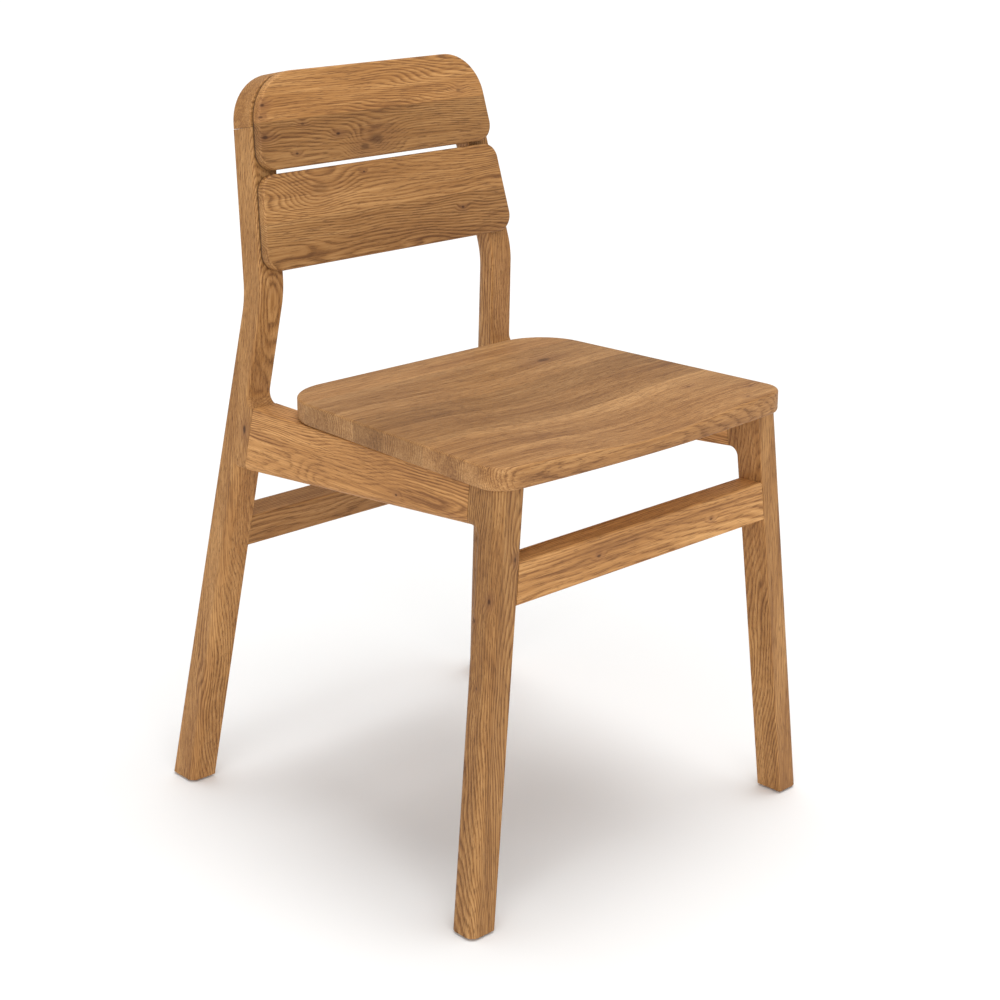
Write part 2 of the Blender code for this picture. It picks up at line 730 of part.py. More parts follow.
def glide(name, side, middle_y, leg):
    x = side * (half_width(middle_y, 0) - STOCK / 2)
    top = FOOT_Z - JOINT_GAP
    place = Matrix.Translation((x, middle_y, 0))
    profile = [(0, GLIDE_PIN_TOP), (GLIDE_PIN_RADIUS, GLIDE_PIN_TOP), (GLIDE_PIN_RADIUS, top),
               (GLIDE_RADIUS - GLIDE_EASED, top), (GLIDE_RADIUS, top - GLIDE_EASED),
               (GLIDE_RADIUS, GLIDE_EASED), (GLIDE_RADIUS - GLIDE_EASED, 0), (0, 0)]
    turned(name, profile, NYLON, place, 20)
    cut(leg, round_cutter(name + "_hole", GLIDE_PIN_RADIUS + FIT_CLEARANCE, 0,
                          GLIDE_PIN_TOP + HOLE_END_CLEARANCE, place, 12))


# Putting it together

rear_legs = [rear_leg(f"rear_leg_{word}", side) for word, side in SIDES]
front_legs = [front_leg(f"front_leg_{word}", side) for word, side in SIDES]
rails = [side_rail(f"side_rail_{word}", side) for word, side in SIDES]

front_middle_y = front_leg_y(FRONT_STRETCHER_Z) + FRONT_STRETCHER_DEPTH / 2
front_stretcher = stretcher("front_stretcher", front_middle_y, FRONT_STRETCHER_Z,
                            FRONT_STRETCHER_HEIGHT, FRONT_STRETCHER_DEPTH, FRONT_LEAN)
rear_middle_y = (rear_leg_y(REAR_STRETCHER_Z) + rear_leg_back_y(REAR_STRETCHER_Z)) / 2
rear_lean = (rear_middle_y - REAR_FOOT_Y + REAR_FOOT_DEPTH / 2) / REAR_STRETCHER_Z
rear_stretcher = stretcher("rear_stretcher", rear_middle_y, REAR_STRETCHER_Z,
                           REAR_STRETCHER_HEIGHT, REAR_STRETCHER_DEPTH, rear_lean)

for (word, side), front, rear, rail in zip(SIDES, front_legs, rear_legs, rails):
    front_z = (SEAT_BOTTOM_Z + RAIL_FRONT_BOTTOM_Z) / 2
    loose_tenon(f"rail_tenon_front_{word}", side, front_joint_y(front_z), front_z,
                RAIL_TENON_FRONT_HEIGHT, (front, rail))
    rear_z = (SEAT_BOTTOM_Z + RAIL_REAR_BOTTOM_Z) / 2
    loose_tenon(f"rail_tenon_rear_{word}", side, rear_joint_y(rear_z), rear_z,
                RAIL_TENON_REAR_HEIGHT, (rear, rail))
    stretcher_tenon(f"stretcher_tenon_front_{word}", side, front_middle_y, FRONT_STRETCHER_Z,
                    STRETCHER_TENON_FRONT_HEIGHT, (front, front_stretcher))
    stretcher_tenon(f"stretcher_tenon_rear_{word}", side, rear_middle_y, REAR_STRETCHER_Z,
                    STRETCHER_TENON_REAR_HEIGHT, (rear, rear_stretcher))
    glide(f"glide_front_{word}", side, FRONT_FOOT_Y + FRONT_LEG_DEPTH / 2, front)
    glide(f"glide_rear_{word}", side, REAR_FOOT_Y - REAR_FOOT_DEPTH / 2, rear)

seat_screws(rails, seat_staves())
crest = crest_rail()
crest_dowels(crest, rear_legs)
slat_dowels(back_slats(), rear_legs)
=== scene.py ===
from math import atan, cos, hypot, pi, radians, sin, tan

import bmesh
import bpy
from mathutils import Matrix, Vector


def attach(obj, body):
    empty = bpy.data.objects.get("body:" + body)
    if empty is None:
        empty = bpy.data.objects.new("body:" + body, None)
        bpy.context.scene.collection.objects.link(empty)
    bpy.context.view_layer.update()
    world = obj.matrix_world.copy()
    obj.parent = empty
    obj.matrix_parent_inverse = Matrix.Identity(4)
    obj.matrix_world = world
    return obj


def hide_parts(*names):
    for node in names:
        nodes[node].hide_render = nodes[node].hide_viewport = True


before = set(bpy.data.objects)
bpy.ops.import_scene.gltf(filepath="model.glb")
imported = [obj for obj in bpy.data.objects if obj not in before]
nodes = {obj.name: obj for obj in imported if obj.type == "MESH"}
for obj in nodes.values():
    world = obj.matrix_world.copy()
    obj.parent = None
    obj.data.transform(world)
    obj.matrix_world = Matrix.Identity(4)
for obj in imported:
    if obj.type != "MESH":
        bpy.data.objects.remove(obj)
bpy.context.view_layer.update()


# ---------------------------------------------------------------------------------------------
# Rear legs. Each is one piece of oak from the foot to the crest: it splays back to the foot,
# bends at a knee above the seat and goes on as the back post. It is sawn from 30 mm stock, and
# its arrises are rounded with a router, the inner rear one most, but not where a stretcher joins.

SIDES = (("left", -1), ("right", 1))
STOCK = 0.030
HALF_WIDTH_AT_FLOOR = 0.2387
CANT = 0.112
TAPER = 0.0166
FOOT_Z = 0.0025
GAP = 0.0003
HAIR = 0.00001
WELD = 0.000001
IN_LINE = 0.001
CREASE = 0.3
SHARP = radians(32)
SANDED = 0.0003

REAR_FOOT_Y = 0.2504
REAR_FOOT_DEPTH = 0.0375
KNEE_Y = 0.1354
KNEE_Z = 0.549
REAR_KNEE_Y = 0.1652
REAR_KNEE_Z = 0.5424
KNEE_RADIUS = 0.090
POST_DEPTH = 0.0305
POST_TOP_Z = 0.7131
BACK_ANGLE = atan(0.200)
SEAT_BOTTOM_Z = 0.4335
RAIL_REAR_BOTTOM_Z = 0.3645
RAIL_FRONT_BOTTOM_Z = 0.3934
REAR_HAUNCH = 0.0125
REAR_FILLET = 0.012
OUTER_ROUND = 0.009
REAR_OUTER_ROUND = 0.003
POST_FRONT_EASED = 0.003
INNER_ROUND = 0.016
INNER_ROUND_SLACK = 0.0016
STOP_MARGIN = 0.002
ROUND_RUN_OUT = 0.022
RUN_OUT_CUTS = 8
ROUND_STEPS = 8
REAR_ARC_STEPS = 12
ROUND_LEFT_AT_JOINT = 0.06
INNER_EASED = 0.002
REAR_STRETCHER_Z = 0.2916
REAR_STRETCHER_HEIGHT = 0.0336

FRONT_FOOT_Y = -0.2462
FRONT_LEG_DEPTH = 0.0317
FRONT_LEAN = 0.027
FRONT_HAUNCH = 0.0103
FRONT_FILLET = 0.009


def half_width(y, z):
    """Outer face of the side frames, which lean in and close in towards the rear."""
    return HALF_WIDTH_AT_FLOOR - CANT * z - TAPER * y


def front_leg_y(z):
    return FRONT_FOOT_Y + FRONT_LEAN * z


def rear_leg_y(z):
    foot = REAR_FOOT_Y - REAR_FOOT_DEPTH
    return foot + (KNEE_Y - foot) * z / KNEE_Z


def rear_leg_back_y(z):
    return REAR_FOOT_Y + (REAR_KNEE_Y - REAR_FOOT_Y) * z / REAR_KNEE_Z


def rail_bottom_z(y):
    rear_y = rear_leg_y(RAIL_REAR_BOTTOM_Z)
    front_y = front_leg_y(RAIL_FRONT_BOTTOM_Z) + FRONT_LEG_DEPTH
    along = (y - front_y) / (rear_y - front_y)
    return RAIL_FRONT_BOTTOM_Z + along * (RAIL_REAR_BOTTOM_Z - RAIL_FRONT_BOTTOM_Z)


def rear_joint_y(z):
    return rear_leg_y(z) - REAR_HAUNCH


def front_joint_y(z):
    return front_leg_y(z) + FRONT_LEG_DEPTH + FRONT_HAUNCH


def on_back(x, up, out):
    """A point of the back: up the slope from the knee, and out in front of the posts."""
    y = KNEE_Y + up * sin(BACK_ANGLE) - out * cos(BACK_ANGLE)
    z = KNEE_Z + up * cos(BACK_ANGLE) + out * sin(BACK_ANGLE)
    return Vector((x, y, z))


POST_TOP_UP = (POST_TOP_Z - KNEE_Z) / cos(BACK_ANGLE)


def corner_points(corners, steps):
    """For each (a, b, radius) corner of a closed outline, the points of the arc that rounds it."""
    runs = []
    count = len(corners)
    for i, (a, b, radius) in enumerate(corners):
        here = Vector((a, b))
        if radius == 0:
            runs.append([here])
            continue
        back = (Vector(corners[i - 1][:2]) - here).normalized()
        on = (Vector(corners[(i + 1) % count][:2]) - here).normalized()
        half = back.angle(on) / 2
        reach = radius / sin(half)
        centre = here + (back + on).normalized() * reach
        start = (here + back * (reach * cos(half)) - centre).normalized()
        end = (here + on * (reach * cos(half)) - centre).normalized()
        runs.append([centre + start.slerp(end, step / steps) * radius for step in range(steps + 1)])
    return runs


def flat(runs):
    return [point for run in runs for point in run]


def sawn_board(points, thickness):
    """A flat board sawn to this outline in its own XY, centred on its own z = 0."""
    curve = bpy.data.curves.new("outline", "CURVE")
    curve.dimensions = "2D"
    curve.fill_mode = "BOTH"
    curve.extrude = thickness / 2
    spline = curve.splines.new("POLY")
    spline.points.add(len(points) - 1)
    for target, point in zip(spline.points, points):
        target.co = (point[0], point[1], 0, 1)
    spline.use_cyclic_u = True
    holder = bpy.data.objects.new("outline", curve)
    bpy.context.scene.collection.objects.link(holder)
    filled = holder.evaluated_get(bpy.context.evaluated_depsgraph_get())
    mesh = bpy.data.meshes.new_from_object(filled)
    bpy.data.objects.remove(holder)
    bpy.data.curves.remove(curve)
    bm = bmesh.new()
    bm.from_mesh(mesh)
    bpy.data.meshes.remove(mesh)
    bmesh.ops.remove_doubles(bm, verts=bm.verts, dist=WELD)
    bmesh.ops.dissolve_limit(bm, angle_limit=IN_LINE, verts=bm.verts, edges=bm.edges)
    bmesh.ops.recalc_face_normals(bm, faces=bm.faces)
    return bm


def rout(bm, weigh, segments):
    """Round each edge by the radius that weigh gives for its two ends, largest radius first."""
    groups = {}
    for edge in bm.edges:
        radius = weigh(edge.verts[0].co, edge.verts[1].co)
        if radius and edge.calc_face_angle(0) > CREASE:
            groups.setdefault(radius, []).append(edge)
    for radius in sorted(groups, reverse=True):
        edges = [edge for edge in groups[radius] if edge.is_valid]
        bmesh.ops.bevel(bm, geom=edges, offset=radius, segments=segments, profile=0.5,
                        affect="EDGES", clamp_overlap=False)


def spot(y, z):
    return round(y, 5), round(z, 5)


def frame_board(points, rounds):
    """A board of the side frame: x is how far in from the outer face, y and z as in the chair."""
    bm = sawn_board(points, STOCK)
    for vert in bm.verts:
        y, z, across = vert.co
        vert.co = (across + STOCK / 2, y, z)
    bmesh.ops.recalc_face_normals(bm, faces=bm.faces)
    runs = [({spot(y, z) for y, z in run}, inward, radius) for run, inward, radius in rounds]

    def weigh(a, b):
        for run, inward, radius in runs:
            on_arris = abs(a.x - inward) < HAIR and abs(b.x - inward) < HAIR
            if on_arris and spot(a.y, a.z) in run and spot(b.y, b.z) in run:
                return radius
        return 0

    rout(bm, weigh, ROUND_STEPS)
    return bm


def stand(bm, side):
    """Lean a side frame's board into its plane."""
    for vert in bm.verts:
        inward, y, z = vert.co
        vert.co.x = side * (half_width(y, z) - inward)
    return bm


def cut(bm, place, across, clear_outer=False):
    """Cut a board in the plane through place that faces across, and clear what is beyond it."""
    return bmesh.ops.bisect_plane(bm, geom=[*bm.verts, *bm.edges, *bm.faces], plane_co=place,
                                  plane_no=across, clear_outer=clear_outer)["geom_cut"]


def make_piece(name, bm, wood, eased=SANDED):
    """The finished piece, smooth shaded, with its sharp edges just broken with sandpaper."""
    bmesh.ops.recalc_face_normals(bm, faces=bm.faces)
    mesh = bpy.data.meshes.new(name)
    bm.to_mesh(mesh)
    bm.free()
    piece = bpy.data.objects.new(name, mesh)
    bpy.context.scene.collection.objects.link(piece)
    mesh.materials.append(wood)
    mesh.shade_smooth()
    if eased:
        sanding = piece.modifiers.new("sanding", "BEVEL")
        sanding.width = eased
        sanding.segments = 2
        sanding.limit_method = "ANGLE"
        sanding.angle_limit = SHARP
        shading = piece.modifiers.new("shading", "WEIGHTED_NORMAL")
        shading.keep_sharp = True
    else:
        mesh.set_sharp_from_angle(angle=SHARP)
    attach(piece, "root")
    return piece


class Finish:
    """The material of one board, fitting or floor, with short calls for the nodes it takes."""

    def __init__(self, name):
        self.look = bpy.data.materials.new(name)
        self.look.use_nodes = True
        self.tree = self.look.node_tree
        self.shader = self.tree.nodes["Principled BSDF"]

    def put(self, target, value):
        if isinstance(value, bpy.types.NodeSocket):
            self.tree.links.new(value, target)
        else:
            target.default_value = value

    def maths(self, operation, a, b=0.0, c=0.0):
        node = self.tree.nodes.new("ShaderNodeMath")
        node.operation = operation
        for target, value in zip(node.inputs, (a, b, c)):
            self.put(target, value)
        return node.outputs[0]

    def stretched(self, place, scale, location=(0, 0, 0), rotation=(0, 0, 0), kind="POINT"):
        node = self.tree.nodes.new("ShaderNodeMapping")
        node.vector_type = kind
        self.put(node.inputs["Vector"], place)
        self.put(node.inputs["Location"], location)
        self.put(node.inputs["Rotation"], rotation)
        self.put(node.inputs["Scale"], scale)
        return node.outputs[0]

    def noise(self, place, scale, detail, roughness, shift=(0, 0, 0)):
        node = self.tree.nodes.new("ShaderNodeTexNoise")
        self.put(node.inputs["Vector"], self.stretched(place, scale, shift))
        node.inputs["Scale"].default_value = 1.0
        node.inputs["Detail"].default_value = detail
        node.inputs["Roughness"].default_value = roughness
        return node.outputs["Fac"]

    def fade(self, value, low, high, to_low=0.0, to_high=1.0):
        node = self.tree.nodes.new("ShaderNodeMapRange")
        node.interpolation_type = "SMOOTHSTEP"
        for target, given in zip(node.inputs, (value, low, high, to_low, to_high)):
            self.put(target, given)
        return node.outputs[0]

    def ramp(self, value, stops):
        node = self.tree.nodes.new("ShaderNodeValToRGB")
        self.put(node.inputs[0], value)
        band = node.color_ramp
        while len(band.elements) < len(stops):
            band.elements.new(0.5)
        for element, (place, colour) in zip(band.elements, stops):
            element.position = place
            element.color = (*colour, 1)
        return node.outputs[0]

    def blend(self, amount, a, b, how="MIX"):
        node = self.tree.nodes.new("ShaderNodeMix")
        node.data_type = "RGBA"
        node.blend_type = how
        self.put(node.inputs["Factor"], amount)
        self.put(node.inputs["A"], a)
        self.put(node.inputs["B"], b)
        return node.outputs["Result"]


# OAK_KNOT_AND_PAINTED_SHADE is the dark of the knots, and it is also the colour of the painted shade
# behind the slats.
OAK_DARK = (0.200, 0.080, 0.025)
OAK_MID = (0.425, 0.202, 0.064)
OAK_LIGHT = (0.640, 0.345, 0.130)
OAK_KNOT_AND_PAINTED_SHADE = (0.085, 0.034, 0.014)
OAK_KNOT_HALO = (0.25, 0.105, 0.042)
OAK_PORE = (0.150, 0.062, 0.024)
OAK_STOPS = ((0.10, OAK_DARK), (0.47, OAK_MID), (0.88, OAK_LIGHT))
RING_SPACING = 0.0024
HEART_DRIFT = 0.035
SWAY = 0.024
RIPPLE = 0.0022
LATE_WOOD_LIFT = 0.14
EARLY_WOOD_DROP = -0.19
OAK_LEVEL = -0.70
FIBRES_SHOW = 0.95
STRANDS_SHOW = 0.62
BROAD_SHOWS = 0.85
FLECKS_SHOW = 0.07
PORES_SHOW = 0.62
OIL_GREEN = 0.985
OIL_BLUE = 0.965
OIL_ROUGHNESS = 0.44
OIL_SPECULAR = 0.24
PORE_DEPTH = 0.0004
# Painted shade behind a board: how dark it is, and how softly it sets in along the board.
PAINTED_SHADE_STRENGTH = 0.92
PAINTED_SHADE_FADE = 0.002
KNOT_STRETCH = 0.55
BOARD_WAVES = {
    "sway": (4.0, 16, 16), "ripple": (13, 110, 110), "fibres": (10, 520, 520),
    "strands": (5, 150, 150), "broad": (3.0, 24, 24), "plain": (4.0, 18, 18),
    "pores": (60, 1250, 1250), "flecks": (30, 300, 700)}


def oak(name, place, turn, heart, seed, tone=1.0, knots=(), figure=1.0, painted_sheen=0.0, painted_shade=None):
    """Oiled oak of one board, sawn out of its log: rings about a heart, fibres, pores and knots.

    place and turn set the board in the chair, with the grain along its own x. heart is where the
    middle of the tree was, across the board's y and z. A knot is (x, y, z, size, darkness). The
    painted shade is a dark colour painted on the back of a board, standing in for the shade that falls
    behind it. It is given as the levels through the board where it is full and gone, and how far from
    the middle of the board it starts. BOARD_WAVES are waves per metre along, across and through.
    """
    w = Finish(name)
    given = w.tree.nodes.new("ShaderNodeTexCoord").outputs["Object"]
    board = w.stretched(given, (1, 1, 1), place, turn, "TEXTURE")
    split_up = w.tree.nodes.new("ShaderNodeSeparateXYZ")
    w.put(split_up.inputs[0], board)
    along, across, deep = split_up.outputs
    shift = (seed * 3.7, seed * 1.9, seed * 5.3)

    sway = w.noise(board, BOARD_WAVES["sway"], 2, 0.5, shift)
    ripple = w.noise(board, BOARD_WAVES["ripple"], 3, 0.6, shift)
    off_y = w.maths("ADD", across, heart[0])
    off_z = w.maths("ADD", deep, heart[1])
    cone = w.maths("MULTIPLY_ADD", along, HEART_DRIFT * figure, off_y)
    radius = w.maths("SQRT", w.maths("ADD", w.maths("MULTIPLY", cone, cone),
                                     w.maths("MULTIPLY", off_z, off_z)))
    radius = w.maths("MULTIPLY_ADD", sway, SWAY * figure, radius)
    radius = w.maths("MULTIPLY_ADD", ripple, RIPPLE, radius)

    knot_dark = 0.0
    knot_near = 0.0
    for kx, ky, kz, size, darkness in knots:
        apart = w.stretched(board, (KNOT_STRETCH, 1, 1), (-kx * KNOT_STRETCH, -ky, -kz))
        length = w.tree.nodes.new("ShaderNodeVectorMath")
        length.operation = "LENGTH"
        w.put(length.inputs[0], apart)
        distance = length.outputs["Value"]
        swirl = w.fade(distance, size * 0.3, size * 5.0, 1.0, 0.0)
        radius = w.maths("MULTIPLY_ADD", swirl, size * 1.8, radius)
        core = w.fade(w.maths("MULTIPLY_ADD", ripple, size * 0.9, distance), size * 0.8, size * 1.6,
                      darkness, 0.0)
        halo = w.fade(distance, size * 0.8, size * 4.5, 0.55 * darkness, 0.0)
        knot_dark = w.maths("MAXIMUM", core, knot_dark)
        knot_near = w.maths("MAXIMUM", halo, knot_near)

    rings = w.maths("FRACT", w.maths("DIVIDE", radius, RING_SPACING))
    early = w.maths("MULTIPLY", w.fade(rings, 0.0, 0.12), w.fade(rings, 0.20, 0.55, 1.0, 0.0))
    late = w.maths("MULTIPLY", w.fade(rings, 0.50, 0.75), w.fade(rings, 0.88, 1.0, 1.0, 0.0))
    fibres = w.noise(board, BOARD_WAVES["fibres"], 4, 0.65, shift)
    strands = w.noise(board, BOARD_WAVES["strands"], 3, 0.65, shift)
    broad = w.noise(board, BOARD_WAVES["broad"], 2, 0.5, shift)
    plain_noise = w.noise(board, BOARD_WAVES["plain"], 1, 0.5, (seed, 2.0, 9.0))
    plain = w.fade(plain_noise, 0.36, 0.62, 0.25, 1.0)
    pore_noise = w.noise(board, BOARD_WAVES["pores"], 2, 0.6, shift)
    pores = w.fade(w.maths("MULTIPLY_ADD", early, 0.10, pore_noise), 0.56, 0.68)
    fleck_noise = w.noise(board, BOARD_WAVES["flecks"], 2, 0.5, (seed, 7.0, 3.0))
    flecks = w.fade(fleck_noise, 0.60, 0.70)

    dark_rings = w.maths("MULTIPLY", early, EARLY_WOOD_DROP)
    ring_depth = w.maths("MULTIPLY_ADD", late, LATE_WOOD_LIFT, dark_rings)
    level = w.maths("MULTIPLY", ring_depth, plain)
    level = w.maths("MULTIPLY_ADD", fibres, FIBRES_SHOW, level)
    level = w.maths("MULTIPLY_ADD", strands, STRANDS_SHOW, level)
    level = w.maths("MULTIPLY_ADD", broad, BROAD_SHOWS, level)
    level = w.maths("MULTIPLY_ADD", flecks, FLECKS_SHOW, level)
    level = w.maths("ADD", level, OAK_LEVEL)
    colour = w.ramp(level, OAK_STOPS)
    colour = w.blend(w.maths("MULTIPLY", pores, PORES_SHOW), colour, (*OAK_PORE, 1))
    if knots:
        colour = w.blend(knot_near, colour, (*OAK_KNOT_HALO, 1))
        colour = w.blend(knot_dark, colour, (*OAK_KNOT_AND_PAINTED_SHADE, 1))
    # Painted shade: the back of the board is darkened towards its ends, where shade falls between it
    # and the posts.
    if painted_shade:
        full, gone, starts = painted_shade
        covered = w.fade(w.maths("ABSOLUTE", along), starts - PAINTED_SHADE_FADE, starts)
        dark = w.maths("MULTIPLY", w.fade(deep, full, gone, PAINTED_SHADE_STRENGTH, 0.0), covered)
        colour = w.blend(dark, colour, (*OAK_KNOT_AND_PAINTED_SHADE, 1))
    # The oil's warm tint, times the board's tone, with a painted sheen: the sheen amount makes the
    # colour cooler and paler, as reflected white surroundings would.
    oil_tint_and_painted_sheen = (tone, tone * (OIL_GREEN + 0.25 * painted_sheen), tone * (OIL_BLUE + painted_sheen), 1)
    colour = w.blend(1.0, colour, oil_tint_and_painted_sheen, "MULTIPLY")
    w.put(w.shader.inputs["Base Color"], colour)

    rough = w.maths("MULTIPLY_ADD", fibres, 0.16, OIL_ROUGHNESS)
    rough = w.maths("MULTIPLY_ADD", pores, 0.15, rough)
    w.put(w.shader.inputs["Roughness"], rough)
    w.shader.inputs["Specular IOR Level"].default_value = OIL_SPECULAR
    height = w.maths("MULTIPLY_ADD", pores, -0.9, w.maths("MULTIPLY", fibres, 0.8))
    bump = w.tree.nodes.new("ShaderNodeBump")
    bump.inputs["Strength"].default_value = 0.4
    bump.inputs["Distance"].default_value = PORE_DEPTH
    w.put(bump.inputs["Height"], height)
    w.put(w.shader.inputs["Normal"], bump.outputs["Normal"])
    return w.look


UPRIGHT = (0, -pi / 2, 0)
REAR_LEG_KNOTS = {
    "left": ((0.409, -0.038, -0.010, 0.0028, 0.9), (0.160, 0.010, 0.004, 0.0016, 0.6)),
    "right": ((0.250, 0.004, 0.000, 0.0020, 0.5),)}
REAR_LEG_HEART = (0.050, 0.045)
REAR_LEG_PLACE = (0.20, 0.19)

for word, side in SIDES:
    joint_bottom = rail_bottom_z(rear_joint_y(RAIL_REAR_BOTTOM_Z))
    top_front = on_back(0, POST_TOP_UP, 0)
    top_rear = on_back(0, POST_TOP_UP, -POST_DEPTH)
    runs = corner_points([
        (rear_leg_back_y(FOOT_Z), FOOT_Z, 0),
        (REAR_KNEE_Y, REAR_KNEE_Z, KNEE_RADIUS),
        (top_rear.y, top_rear.z, 0),
        (top_front.y, top_front.z, 0),
        (KNEE_Y, KNEE_Z, KNEE_RADIUS),
        (rear_leg_y(SEAT_BOTTOM_Z), SEAT_BOTTOM_Z, REAR_FILLET),
        (rear_joint_y(SEAT_BOTTOM_Z), SEAT_BOTTOM_Z, 0),
        (rear_joint_y(joint_bottom), joint_bottom, 0),
        (rear_leg_y(RAIL_REAR_BOTTOM_Z), RAIL_REAR_BOTTOM_Z, 0),
        (rear_leg_y(FOOT_Z), FOOT_Z, 0)], REAR_ARC_STEPS)
    behind = flat(runs[:3])
    rounds = [(behind, 0, REAR_OUTER_ROUND), (behind, STOCK, INNER_ROUND),
              (flat(runs[7:]), 0, OUTER_ROUND), (flat(runs[3:6]), 0, POST_FRONT_EASED),
              (flat(runs[3:6]), STOCK, INNER_EASED)]
    bm = frame_board(flat(runs), rounds)
    stop = REAR_STRETCHER_HEIGHT / 2 + STOP_MARGIN
    for way in (-1, 1):
        for part in range(RUN_OUT_CUTS + 1):
            level = REAR_STRETCHER_Z + way * (stop + ROUND_RUN_OUT * part / RUN_OUT_CUTS)
            cut(bm, (0, 0, level), (0, 0, 1))
    for vert in bm.verts:
        inward, y, z = vert.co
        beyond = (abs(z - REAR_STRETCHER_Z) - stop) / ROUND_RUN_OUT
        back_y = rear_leg_back_y(z)
        in_depth = y > back_y - INNER_ROUND - INNER_ROUND_SLACK
        in_round = inward > STOCK - INNER_ROUND - HAIR and in_depth
        if beyond < 1 and in_round:
            keep = max(ROUND_LEFT_AT_JOINT, max(0, beyond) ** 0.5)
            vert.co.x = STOCK - (STOCK - inward) * keep
            vert.co.y = back_y - (back_y - y) * keep
    place = (side * REAR_LEG_PLACE[0], REAR_LEG_PLACE[1], 0.0)
    wood = oak(f"oak_rear_leg_{word}", place, UPRIGHT, REAR_LEG_HEART, seed=3.1 + side, tone=0.89,
               knots=REAR_LEG_KNOTS[word], figure=1.5)
    leg = make_piece(f"rear_leg_{word}_oak", stand(bm, side), wood)
    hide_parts(f"rear_leg_{word}")


# ---------------------------------------------------------------------------------------------
# Front legs. Straight oak legs of the same stock, with a small haunch at the top that turns the
# corner into the side rail. The outer arrises are rounded, and the top is square under the seat.

FRONT_INNER_EASED = 0.0015
FRONT_LEG_KNOTS = {
    "left": ((0.331, -0.006, -0.0045, 0.0020, 0.95), (0.308, 0.011, -0.0023, 0.0013, 0.8),
             (0.246, 0.001, 0.0048, 0.0012, 0.8), (0.366, -0.011, -0.0325, 0.0018, 0.7)),
    "right": ((0.193, -0.016, 0.028, 0.0020, 0.7),)}
FRONT_LEG_HEART = (0.035, 0.050)
FRONT_LEG_PLACE = (0.21, -0.225)
FRONT_ARC_STEPS = 10
FRONT_LEG_TONES = {"left": 0.80, "right": 0.88}

for word, side in SIDES:
    bottom = rail_bottom_z(front_joint_y(SEAT_BOTTOM_Z))
    runs = corner_points([
        (front_leg_y(FOOT_Z) + FRONT_LEG_DEPTH, FOOT_Z, 0),
        (front_leg_y(RAIL_FRONT_BOTTOM_Z) + FRONT_LEG_DEPTH, RAIL_FRONT_BOTTOM_Z, FRONT_FILLET),
        (front_joint_y(bottom), bottom, 0),
        (front_joint_y(SEAT_BOTTOM_Z), SEAT_BOTTOM_Z, 0),
        (front_leg_y(SEAT_BOTTOM_Z), SEAT_BOTTOM_Z, 0),
        (front_leg_y(FOOT_Z), FOOT_Z, 0)], FRONT_ARC_STEPS)
    rounds = [(flat(runs[:3]), 0, OUTER_ROUND), (flat(runs[4:]), 0, OUTER_ROUND),
              (flat(runs[:3]), STOCK, INNER_EASED), (flat(runs[4:]), STOCK, FRONT_INNER_EASED)]
    bm = frame_board(flat(runs), rounds)
    place = (side * FRONT_LEG_PLACE[0], FRONT_LEG_PLACE[1], 0.0)
    wood = oak(f"oak_front_leg_{word}", place, UPRIGHT, FRONT_LEG_HEART, seed=8.4 + 2.3 * side,
               tone=FRONT_LEG_TONES[word], knots=FRONT_LEG_KNOTS[word], figure=1.5)
    leg = make_piece(f"front_leg_{word}_oak", stand(bm, side), wood)
    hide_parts(f"front_leg_{word}")


# ---------------------------------------------------------------------------------------------
# Side rails. A tapered board between the haunches of the two legs, glued to them with loose
# tenons and sanded flush, so only a hairline shows. Its lower outer arris carries the round on.

RAIL_EASED = 0.0015
RAIL_KNOTS = {"left": ((-0.0625, -0.007, -0.0057, 0.0012, 0.95),), "right": ()}
RAIL_HEART = (0.012, 0.030)
RAIL_PLACE = (0.19, -0.03, 0.405)
ALONG_SIDE = (pi / 2, 0, pi / 2)

for word, side in SIDES:
    bottom = [Vector((y, rail_bottom_z(y))) for y in (
        front_joint_y(RAIL_FRONT_BOTTOM_Z) + GAP, rear_joint_y(RAIL_REAR_BOTTOM_Z) - GAP)]
    top = [Vector((y, SEAT_BOTTOM_Z)) for y in (
        rear_joint_y(SEAT_BOTTOM_Z) - GAP, front_joint_y(SEAT_BOTTOM_Z) + GAP)]
    rounds = [(bottom, 0, OUTER_ROUND), (bottom, STOCK, RAIL_EASED), (top, 0, RAIL_EASED)]
    bm = frame_board([*bottom, *top], rounds)
    place = (side * RAIL_PLACE[0], *RAIL_PLACE[1:])
    wood = oak(f"oak_side_rail_{word}", place, ALONG_SIDE, RAIL_HEART, seed=5.2 + 1.7 * side,
               tone=1.16, knots=RAIL_KNOTS[word], figure=1.9)
    rail = make_piece(f"side_rail_{word}_oak", stand(bm, side), wood)
    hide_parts(f"side_rail_{word}")


# ---------------------------------------------------------------------------------------------
# Stretchers. Two straight bars across the chair, tenoned into the legs and tilted with them. The
# front one is flush with the front of the legs, and the rear one fills the depth of the rear legs.

FRONT_STRETCHER_Z = 0.341
FRONT_STRETCHER_HEIGHT = 0.0412
FRONT_STRETCHER_DEPTH = 0.0292
REAR_STRETCHER_DEPTH = 0.0322
STRETCHER_EASED = 0.002
STRETCHER_ROUND_STEPS = 5
BLANK_LENGTH = 2
ACROSS_CHAIR = (pi / 2, 0, 0)
FRONT_STRETCHER_KNOTS = ((-0.0675, 0.0015, 0.0146, 0.0016, 0.8),
                         (0.0936, 0.0004, 0.0146, 0.0014, 0.7))


def long_edge(a, b):
    return STRETCHER_EASED if abs(a.x - b.x) > BLANK_LENGTH / 2 else 0


